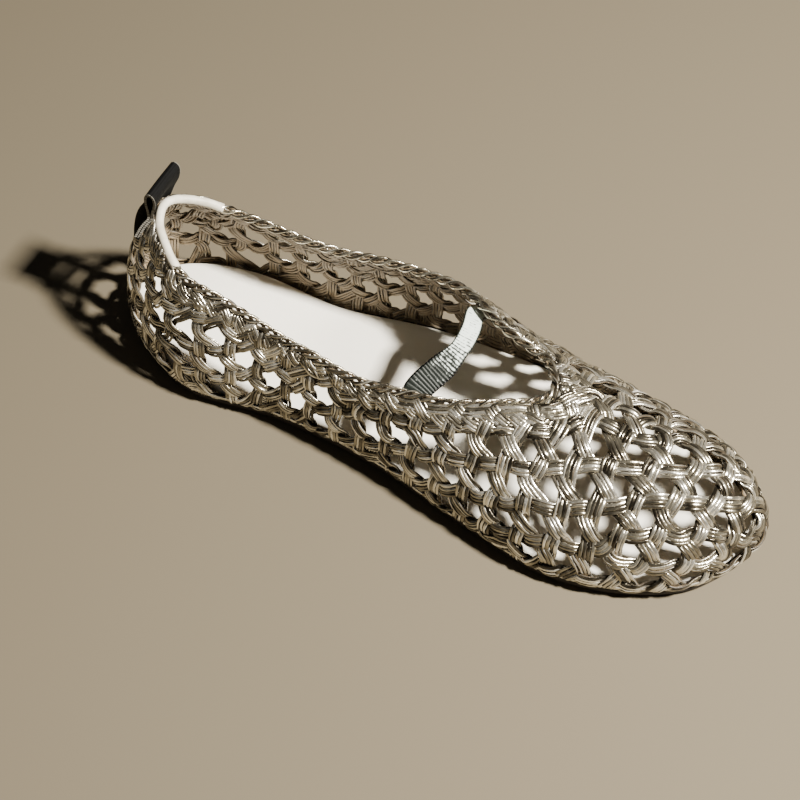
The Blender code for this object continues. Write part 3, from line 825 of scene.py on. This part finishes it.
def collar_rope(material):
    """The rim: three strands laid round each other like a rope, each of narrow strips side by side."""
    centre, normal, into, wide, far = collar_line(ROPE_COUNT)
    total, at = far[-1], far[:-1]
    turns = round(total / ROPE_LAY)
    keep = np.minimum(at, total - at) > BINDING_HALF - ROPE_UNDER
    spread = (wide / BRAID_TALL)[:, None]
    paths = []
    for ply in range(ROPE_PLIES):
        angle = (2 * np.pi * (turns * at / total + ply / ROPE_PLIES))[:, None]
        spoke = normal * np.cos(angle) * spread + into * np.sin(angle)
        place = centre + spoke * PLY_OUT
        run = unit(np.roll(place, -1, 0) - np.roll(place, 1, 0))
        out = unit(spoke)
        side = unit(np.cross(out, run))
        out = np.cross(run, side)
        for turn in PLY_TURNS:
            lean = (turn + wander(ROPE_COUNT, *LEAN_DRIFT))[:, None]
            face = out * np.cos(lean) + side * np.sin(lean)
            reach = PLY_RADIUS - STRIP_THICK / 2 + wander(ROPE_COUNT, *REACH_DRIFT)
            line = place + face * reach[:, None]
            for start, end in runs_of(keep):
                paths.append(dict(centre=line[start:end], normal=face[start:end], wide=PLY_STRIP_WIDE,
                                  thick=PLY_STRIP_THICK, tone=random.random()))
        for start, end in runs_of(keep):
            core = slice(start, end, CORE_STEP)
            paths.append(dict(centre=place[core], normal=out[core], wide=PLY_CORE, thick=PLY_CORE, tone=0.0))
    piece = add_strips("collar_rope", paths, material, "braid_leather")
    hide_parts("collar_braid")


def heel_binding(material):
    """A smooth leather binding over the rim at the back of the heel."""
    centre, _, into, wide, far = collar_line(BINDING_COUNT)
    front = BINDING_COUNT // 2
    order = np.r_[np.arange(front, BINDING_COUNT), np.arange(front)]
    at = np.r_[far[front:-1] - far[-1], far[:front]]
    keep = np.abs(at) < BINDING_HALF
    order, at = order[keep][::2], at[keep][::2]
    swell = np.sqrt(np.clip((BINDING_HALF - np.abs(at)) / BINDING_ROUND, 0, 1))
    size = BINDING_END + BINDING_SWELL * swell
    turns = np.arange(BINDING_SIDES) * math.pi / (BINDING_SIDES / 2)
    section = np.array([(math.cos(t), math.sin(t)) for t in turns])
    path = dict(centre=centre[order], normal=into[order], wide=wide[order] * size,
                thick=BRAID_TALL * size, tone=0.5)
    add_strips("heel_binding", [path], material, "insole_leather", section)


def slab(name, edge, base, pad, material, slot, node):
    """A layer with the last's outline: the rows of edge climb its side and turn in; pad lifts its heel."""
    count = SLAB_COUNT
    loops = []
    for inset, z in zip(edge["inset"], edge["z"]):
        p = inset_line(count, inset)
        back = np.clip((PAD_FROM - p[:, 0]) / (PAD_FROM - PAD_TO), 0, 1)
        lifted = pad * back * back * (3 - 2 * back) * min(z / PAD_CLIMB, 1.0)
        loops.append(np.c_[p, base + z + lifted + lift(p[:, 0])])
    faces = []
    for k in range(len(loops) - 1):
        low, high = k * count, (k + 1) * count
        for i in range(count):
            after = (i + 1) % count
            faces.append([low + i, low + after, high + after, high + i])
    top = (len(loops) - 1) * count
    for i in range(count // 2):
        j, k = (count - i) % count, (count - i - 1) % count
        faces.append(list(dict.fromkeys([i, j, k, i + 1])))
        faces.append(list(dict.fromkeys([top + i, top + i + 1, top + k, top + j])))
    piece = add_mesh(name, np.vstack(loops), faces, material, slot)
    piece.data.set_sharp_from_angle(angle=math.radians(SLAB_SHARP))
    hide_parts(node)


def elastic_strap(material):
    """The ribbed elastic over the instep, with its two legs sewn inside the wall."""
    ends = []
    for x, column, side in ((STRAP_INNER_X, "inner", -1.0), (STRAP_OUTER_X, "outer", 1.0)):
        z = smooth(np.array(x), TOPLINE["x"], TOPLINE[column])
        u, rise = collar_place(np.array(x), z, side)
        low = rise - STRAP_LEG["below"] / girth(u)
        deep = -WALL - STRAP_THICK / 2 - STRAP_LEG["inward"]
        leg = skin(np.full(len(low), u), low, deep)
        ends.append((leg, along(u, rise) * -side))
    (near, near_way), (far, far_way) = ends
    path = spline([*near, STRAP_MIDDLE, *far[::-1]], STRAP_PER, False)
    path = evenly(path, int(run_along(path)[-1] / RIB * RIB_STEPS), False)
    share = np.linspace(0, 1, len(path))[:, None]
    eased = path.copy()
    for _ in range(STRAP_EASE):
        eased[1:-1] = (eased[:-2] + eased[2:] + eased[1:-1] * 2) / 4
    free = np.clip((0.5 - np.abs(share - 0.5) - FREE_FROM) / FREE_BLEND, 0, 1)
    path = path + (eased - path) * free
    across = near_way * (1 - share) + far_way * share
    run = unit(np.gradient(path, axis=0))
    across = unit(across - run * (across * run).sum(-1, keepdims=True))
    top = np.array(STRAP_EDGE, float)
    section = np.vstack([top[::-1], top * (1, -1)])
    drawn = np.clip((share[:, 0] - DRAWN_FROM) / DRAWN_OVER, 0, 1)
    wide = STRAP_WIDE + (STRAP_DRAWN - STRAP_WIDE) * drawn * drawn * (3 - 2 * drawn)
    rib = RIB_LOW + (1 - RIB_LOW) * np.abs(np.sin(np.pi * np.arange(len(path)) / RIB_STEPS))
    path = dict(centre=path, normal=np.cross(run, across), wide=wide, thick=STRAP_THICK * rib, tone=0.5)
    piece = add_strips("elastic_strap", [path], material, "strap_elastic", section)
    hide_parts("strap")


def ribbon_loop(material):
    """The pull loop on the heel: two layers of ribbon sewn below the rim, and a flat eye above it."""
    stations = LOOP_STATIONS
    flat = evenly(COLLAR, RIM_STEPS)
    at = run_along(np.vstack([RIM, RIM[:1]]))
    spots = np.linspace(-LOOP_WIDE / 2, LOOP_WIDE / 2, stations)
    closed = np.vstack([flat, flat[:1]])
    reach = spots * LOOP_FOOT % at[-1]
    place = np.stack([np.interp(reach, at, closed[:, k]) for k in (0, 1)], -1)
    u, rise = roll(place)
    half = LOOP_THICK / 2
    back = np.array([-1.0, 0, 0])
    loops = []
    for s, uu, rr, gg in zip(spots, u, rise, girth(u)):
        low = rr - LOOP_LEGS["below"] / gg
        outer = skin(np.full(len(low), uu), low, LOOP_LEGS["outer"])
        inner = skin(np.full(len(low), uu), low, LOOP_LEGS["inner"])
        foot = (outer[-1] + inner[-1]) / 2
        head = np.array([LOOP_X, -s, LOOP_TOP - half])
        share = np.stack([LOOP_HEAD["forward"], LOOP_HEAD["forward"], LOOP_HEAD["up"]], -1)
        middle = foot + (head - foot) * share
        gap = back * LOOP_HEAD["half_gap"][:, None]
        points = [*outer, *(middle + gap), *(middle - gap)[-2::-1], *inner[::-1]]
        loops.append(spline(points, LOOP_PER, False))
    path = np.stack(loops, 1)
    rows = len(path)
    run = unit(np.gradient(path, axis=0))
    wide = unit(np.gradient(path, axis=1))
    normal = unit(np.cross(run, wide))
    far = run_along(path[:, stations // 2])
    verts = np.vstack([(path + normal * half).reshape(-1, 3), (path - normal * half).reshape(-1, 3)])
    n = rows * stations
    faces, sides = [], {}
    for i in range(rows - 1):
        for j in range(stations - 1):
            a = i * stations + j
            face = [a, a + stations, a + stations + 1, a + 1]
            faces.append(face)
            sides.update({(face[k], face[(k + 1) % 4]): 1 for k in range(4)})
    solid = faces + [[n + i for i in f[::-1]] for f in faces]
    solid += [[b, a, n + a, n + b] for a, b in sides if (b, a) not in sides]
    side = np.tile(np.linspace(-1, 1, stations), rows)
    values = dict(tone=np.full(2 * n, 0.5), run=np.tile(np.repeat(far, stations), 2), side=np.tile(side, 2))
    piece = add_mesh("ribbon_loop", verts, solid, material, "loop_ribbon", **values)
    piece.data.set_sharp_from_angle(angle=math.radians(LOOP_SHARP))
    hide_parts("pull_loop")


# Shader groups and materials
THREAD_SHARE, CREASE_SHARE = 0.35, 0.35
TONE_SHARE, DRIFT_SHARE = 0.5, 0.6
FOIL_METAL, FOIL_ROUGH, FOIL_POLISH, FOIL_DRIFT = 0.91, 0.40, 0.32, 0.28
# The strips' back colour, and the near-black of their cut sides: partly a dark leather edge, partly painted
# shade between neighbouring strips
RAW_BACK, CUT_SIDE_AND_SHADE = (0.21, 0.16, 0.098), (0.03, 0.022, 0.014)
# Dark core lines between the tape ribs, and painted shade: the same dark is laid over the start of the
# elastic's run and fades further along
UNSHADED_LEVEL, PAINTED_SHADE_LEVEL, CORE_BREAK, CORE_AND_SHADE_TONE = 0.3, -1.5, 3.4, (0.02, 0.022, 0.02)


def socket(group, name, way, kind="NodeSocketFloat", start=None):
    made = group.interface.new_socket(name=name, in_out=way, socket_type=kind)
    if start is not None:
        made.default_value = start
    return made


def node(tree, kind, **settings):
    made = tree.nodes.new(kind)
    for key, value in settings.items():
        if key.startswith("set_"):
            setattr(made, key[4:], value)
        else:
            made.inputs[key.replace("_", " ")].default_value = value
    return made


def link(tree, start, out, end, into):
    tree.links.new(start.outputs[out], end.inputs[into])


def math_node(tree, operation, first, second):
    made = tree.nodes.new("ShaderNodeMath")
    made.operation = operation
    for place, value in enumerate((first, second)):
        if isinstance(value, (int, float)):
            made.inputs[place].default_value = value
        else:
            tree.links.new(value, made.inputs[place])
    return made.outputs[0]


def ramp(tree, source, rows):
    """A colour ramp through rows of a place and a colour."""
    made = tree.nodes.new("ShaderNodeValToRGB")
    while len(made.color_ramp.elements) < len(rows):
        made.color_ramp.elements.new(0.5)
    for element, (place, colour) in zip(made.color_ramp.elements, rows):
        element.position = place
        element.color = (*colour, 1)
    tree.links.new(source, made.inputs["Fac"])
    return made.outputs["Color"]


def grain_group():
    """Leather grain: pebbles with fine creases, and a slow drift of tone."""
    group = bpy.data.node_groups.new("leather grain", "ShaderNodeTree")
    socket(group, "Pebble scale", "INPUT", start=1400.0)
    socket(group, "Drift scale", "INPUT", start=90.0)
    socket(group, "Height", "OUTPUT")
    socket(group, "Drift", "OUTPUT")
    start, end = node(group, "NodeGroupInput"), node(group, "NodeGroupOutput")
    place = node(group, "ShaderNodeTexCoord")
    pebble = node(group, "ShaderNodeTexVoronoi", set_feature="SMOOTH_F1")
    crease = node(group, "ShaderNodeTexNoise", Detail=3.0, Roughness=0.6)
    drift = node(group, "ShaderNodeTexNoise", Detail=4.0, Roughness=0.55)
    for made in (pebble, crease, drift):
        link(group, place, "Object", made, "Vector")
    link(group, start, "Pebble scale", pebble, "Scale")
    link(group, start, "Drift scale", drift, "Scale")
    crease_scale = math_node(group, "MULTIPLY", start.outputs["Pebble scale"], CREASE_SHARE)
    group.links.new(crease_scale, crease.inputs["Scale"])
    both = math_node(group, "ADD", pebble.outputs["Distance"], crease.outputs["Fac"])
    group.links.new(both, end.inputs["Height"])
    link(group, drift, "Fac", end, "Drift")
    return group


def ribs_group():
    """Woven tape: ribs across it, warp threads along it, from the run and side values of the mesh."""
    group = bpy.data.node_groups.new("tape ribs", "ShaderNodeTree")
    socket(group, "Rib length", "INPUT", start=1.0)
    socket(group, "Threads", "INPUT", start=9.0)
    socket(group, "Height", "OUTPUT")
    socket(group, "Edge", "OUTPUT")
    start, end = node(group, "NodeGroupInput"), node(group, "NodeGroupOutput")
    run = node(group, "ShaderNodeAttribute", set_attribute_name="run")
    side = node(group, "ShaderNodeAttribute", set_attribute_name="side")
    ribs = math_node(group, "DIVIDE", run.outputs["Fac"], start.outputs["Rib length"])
    threads = math_node(group, "MULTIPLY", side.outputs["Fac"], start.outputs["Threads"])
    waves = []
    for count in (ribs, threads):
        sine = math_node(group, "SINE", math_node(group, "MULTIPLY", count, math.pi), 0.0)
        waves.append(math_node(group, "ABSOLUTE", sine, 0.0))
    both = math_node(group, "ADD", waves[0], math_node(group, "MULTIPLY", waves[1], THREAD_SHARE))
    group.links.new(both, end.inputs["Height"])
    group.links.new(math_node(group, "ABSOLUTE", side.outputs["Fac"], 0.0), end.inputs["Edge"])
    return group


def new_material(name, **values):
    """A material and its Principled shader, with the values that are the same all over."""
    made = bpy.data.materials.new(name)
    made.use_nodes = True
    tree = made.node_tree
    shader = tree.nodes["Principled BSDF"]
    for key, value in values.items():
        shader.inputs[key.replace("_", " ")].default_value = value
    return made, tree, shader


def feed(tree, shader, **sources):
    """Values that change over the surface, into the shader's sockets of those names."""
    for key, source in sources.items():
        tree.links.new(source, shader.inputs[key.replace("_", " ")])


def place_group(tree, group, **values):
    made = tree.nodes.new("ShaderNodeGroup")
    made.node_tree = group
    for key, value in values.items():
        made.inputs[key.replace("_", " ")].default_value = value
    return made


def bump(tree, height, shader, strength, depth):
    made = node(tree, "ShaderNodeBump", Strength=strength, Distance=depth)
    tree.links.new(height, made.inputs["Height"])
    feed(tree, shader, Normal=made.outputs["Normal"])


def foil_leather(name, grain, dark, middle, pale):
    """Leather strips with a metal foil on the face, rubbed in patches, an unfinished leather back, and dark
    cut sides that are partly painted shade between the strips.
    """
    made, tree, shader = new_material(name, Coat_Weight=0.12, Coat_Roughness=0.2)
    skin_grain = place_group(tree, grain, Pebble_scale=1500.0, Drift_scale=170.0)
    tone = node(tree, "ShaderNodeAttribute", set_attribute_name="tone")
    face = node(tree, "ShaderNodeAttribute", set_attribute_name="face")
    strip = math_node(tree, "MULTIPLY", tone.outputs["Fac"], TONE_SHARE)
    drift = skin_grain.outputs["Drift"]
    patch = math_node(tree, "MULTIPLY", drift, DRIFT_SHARE)
    mixed = math_node(tree, "ADD", strip, patch)
    colour = ramp(tree, mixed, [(0.28, dark), (0.52, middle), (0.76, pale)])
    foil = node(tree, "ShaderNodeMapRange", From_Min=0.1, From_Max=0.6)
    tree.links.new(face.outputs["Fac"], foil.inputs["Value"])
    foil_and_side_shade = node(tree, "ShaderNodeMix", set_data_type="RGBA")
    tree.links.new(foil.outputs["Result"], foil_and_side_shade.inputs["Factor"])
    # The turned faces run from the unfinished back to near-black cut sides, which are partly painted shade
    # between the strips
    turned = node(tree, "ShaderNodeMapRange", From_Min=-0.9, From_Max=0.0)
    tree.links.new(face.outputs["Fac"], turned.inputs["Value"])
    back_and_side_shade = ramp(tree, turned.outputs["Result"], [(0.1, RAW_BACK), (0.7, CUT_SIDE_AND_SHADE)])
    tree.links.new(back_and_side_shade, foil_and_side_shade.inputs[MIX_FIRST])
    tree.links.new(colour, foil_and_side_shade.inputs[MIX_SECOND])
    metal = math_node(tree, "MULTIPLY", foil.outputs["Result"], FOIL_METAL)
    uneven = math_node(tree, "MULTIPLY", drift, FOIL_DRIFT)
    polish = math_node(tree, "MULTIPLY", foil.outputs["Result"], FOIL_POLISH)
    rough = math_node(tree, "ADD", math_node(tree, "SUBTRACT", uneven, polish), FOIL_ROUGH)
    feed(tree, shader, Base_Color=foil_and_side_shade.outputs[MIX_RESULT], Metallic=metal, Roughness=rough)
    bump(tree, skin_grain.outputs["Height"], shader, 0.4, 0.00015)
    return made


def matt_skin(name, grain, pebble, drift, rows, rough, relief, **values):
    """Leather or rubber: its tone and its roughness drift together over a pebbled grain."""
    made, tree, shader = new_material(name, **values)
    skin_grain = place_group(tree, grain, Pebble_scale=pebble, Drift_scale=drift)
    base, change = rough
    uneven = math_node(tree, "MULTIPLY", skin_grain.outputs["Drift"], change)
    colour = ramp(tree, skin_grain.outputs["Drift"], rows)
    feed(tree, shader, Base_Color=colour, Roughness=math_node(tree, "ADD", uneven, base))
    bump(tree, skin_grain.outputs["Height"], shader, *relief)
    return made


def tape(name, ribs, grain, rib, threads, edge_rows, spread, rough, gloss, depth):
    """Ribbed tape: its colour changes toward its edges, its dark core shows between the ribs in broken
    lines, and painted shade darkens the start of its run and fades out over the given span.
    """
    made, tree, shader = new_material(name, Roughness=rough, Specular_IOR_Level=gloss)
    woven = place_group(tree, ribs, Rib_length=rib, Threads=threads)
    colour = ramp(tree, woven.outputs["Edge"], edge_rows)
    shade = node(tree, "ShaderNodeMix", set_data_type="RGBA", set_blend_type="MULTIPLY")
    shade.inputs["Factor"].default_value = 1.0
    tree.links.new(colour, shade.inputs[MIX_FIRST])
    # Painted shade: over the first part of the run the dark core colour covers the ribs, fading out by the
    # end of the span
    run = node(tree, "ShaderNodeAttribute", set_attribute_name="run")
    painted_shade = node(tree, "ShaderNodeMapRange", From_Min=spread[0], From_Max=spread[1],
                 To_Min=PAINTED_SHADE_LEVEL, To_Max=UNSHADED_LEVEL)
    tree.links.new(run.outputs["Fac"], painted_shade.inputs["Value"])
    fluff = place_group(tree, grain, Pebble_scale=1500.0, Drift_scale=800.0)
    even = math_node(tree, "SUBTRACT", fluff.outputs["Drift"], 0.5)
    broken = math_node(tree, "MULTIPLY", even, CORE_BREAK)
    ribs_and_painted_shade = math_node(tree, "ADD", woven.outputs["Height"], painted_shade.outputs["Result"])
    core = ramp(tree, math_node(tree, "ADD", ribs_and_painted_shade, broken), [(0.2, CORE_AND_SHADE_TONE), (0.7, (1, 1, 1))])
    tree.links.new(core, shade.inputs[MIX_SECOND])
    feed(tree, shader, Base_Color=shade.outputs[MIX_RESULT])
    bump(tree, woven.outputs["Height"], shader, 0.6, depth)
    return made


GRAIN, RIBS = grain_group(), ribs_group()
FOIL = foil_leather(
    "woven foil leather", GRAIN,
    dark=(0.055, 0.046, 0.032), middle=(0.43, 0.39, 0.298), pale=(1.0, 0.955, 0.83),
)
ROPE = foil_leather(
    "plaited foil leather", GRAIN,
    dark=(0.08, 0.067, 0.047), middle=(0.52, 0.475, 0.365), pale=(1.0, 0.955, 0.83),
)
LEATHER = dict(pebble=1100.0, rough=(0.42, 0.2), relief=(0.25, 0.0001), Coat_Weight=0.05, Sheen_Weight=0.05)
SOCK_LEATHER = matt_skin("sock leather", GRAIN, drift=26.0, rows=[
    (0.25, (0.86, 0.825, 0.725)),
    (0.7, (0.93, 0.90, 0.81)),
], **LEATHER)
BINDING_LEATHER = matt_skin("binding leather", GRAIN, drift=240.0, rows=[
    (0.25, (0.50, 0.455, 0.36)),
    (0.7, (0.80, 0.755, 0.645)),
], **LEATHER)
RUBBER = matt_skin("sole rubber", GRAIN, pebble=900.0, drift=40.0, rows=[
    (0.3, (0.020, 0.016, 0.013)),
    (0.75, (0.045, 0.037, 0.030)),
], rough=(0.55, 0.25), relief=(0.4, 0.0002), Specular_IOR_Level=0.35)
# The elastic gets painted shade at its near end, fading out from 22 to 43 mm along its run; the ribbon's
# span lies before its run starts, so it gets none
ELASTIC = tape("ribbed elastic", RIBS, GRAIN, rib=RIB, threads=14.0, edge_rows=[
    (0.72, (0.74, 0.82, 0.77)),
    (0.84, (0.58, 0.66, 0.61)),
    (0.89, (0.012, 0.015, 0.012)),
], spread=(22.0, 43.0), rough=0.36, gloss=0.25, depth=0.0002)
RIBBON = tape("grosgrain ribbon", RIBS, GRAIN, rib=0.9, threads=22.0, edge_rows=[
    (0.9, (0.004, 0.004, 0.004)),
    (0.97, (0.007, 0.007, 0.006)),
    (0.995, (0.20, 0.19, 0.165)),
], spread=(-2.0, -1.0), rough=0.8, gloss=0.08, depth=0.0002)

woven_strands(FOIL)
band_strands(FOIL)
rim_strands(FOIL)
foot_strips(FOIL)
collar_rope(ROPE)
heel_binding(BINDING_LEATHER)
slab("insole_sock", SOCK_EDGE, SOLE + GAP, HEEL_PAD, SOCK_LEATHER, "insole_leather", "insole")
slab("rubber_outsole", SOLE_EDGE, 0.0, 0.0, RUBBER, "outsole_rubber", "outsole")
elastic_strap(ELASTIC)
ribbon_loop(RIBBON)


# Floor, light and camera
def floor():
    mesh = bpy.data.meshes.new("floor")
    corners = [(x * FLOOR_SIZE, y * FLOOR_SIZE, 0) for x, y in ((-1, -1), (1, -1), (1, 1), (-1, 1))]
    mesh.from_pydata(corners, [], [(0, 1, 2, 3)])
    mesh.materials.append(new_material("floor", Roughness=FLOOR_ROUGH, Base_Color=FLOOR_TONE)[0])
    obj = bpy.data.objects.new("floor", mesh)
    bpy.context.scene.collection.objects.link(obj)


def soft_box(name, place, watts, size, colour):
    """A square area light that looks at the shoe."""
    lamp = bpy.data.lights.new(name, "AREA")
    lamp.energy, lamp.size, lamp.color = watts, size, colour
    obj = bpy.data.objects.new(name, lamp)
    bpy.context.scene.collection.objects.link(obj)
    away = np.array(place, float)
    side = unit(np.cross((0, 0, 1), away))
    up = np.cross(unit(away), side)
    turn = np.stack([side, up, unit(away)], 1)
    obj.matrix_world = Matrix.Translation(place) @ Matrix(turn.tolist()).to_4x4()


def studio():
    world = bpy.data.worlds.new("studio")
    world.use_nodes = True
    background = world.node_tree.nodes["Background"]
    background.inputs["Color"].default_value = WORLD_TONE
    background.inputs["Strength"].default_value = WORLD_STRENGTH
    bpy.context.scene.world = world
    soft_box("key", **KEY)
    soft_box("fill", **FILL)


def camera():
    a, e, r = (math.radians(v) for v in (VIEW_AROUND, VIEW_UP, VIEW_ROLL))
    back = np.array([math.sin(a) * math.cos(e), -math.cos(a) * math.cos(e), math.sin(e)])
    right = np.array([math.cos(a), math.sin(a), 0.0])
    up = np.cross(back, right)
    rolled = (right * math.cos(r) + up * math.sin(r), up * math.cos(r) - right * math.sin(r))
    turned = np.stack([*rolled, back], 1)
    lens = bpy.data.cameras.new("camera")
    lens.lens, lens.sensor_width = VIEW_LENS, VIEW_SENSOR
    obj = bpy.data.objects.new("camera", lens)
    bpy.context.scene.collection.objects.link(obj)
    place = (np.array(VIEW_TARGET) - MOVE + back * VIEW_AWAY) * MM
    obj.matrix_world = Matrix.Translation(place.tolist()) @ Matrix(turned.tolist()).to_4x4()
    bpy.context.scene.camera = obj


floor()
studio()
camera()
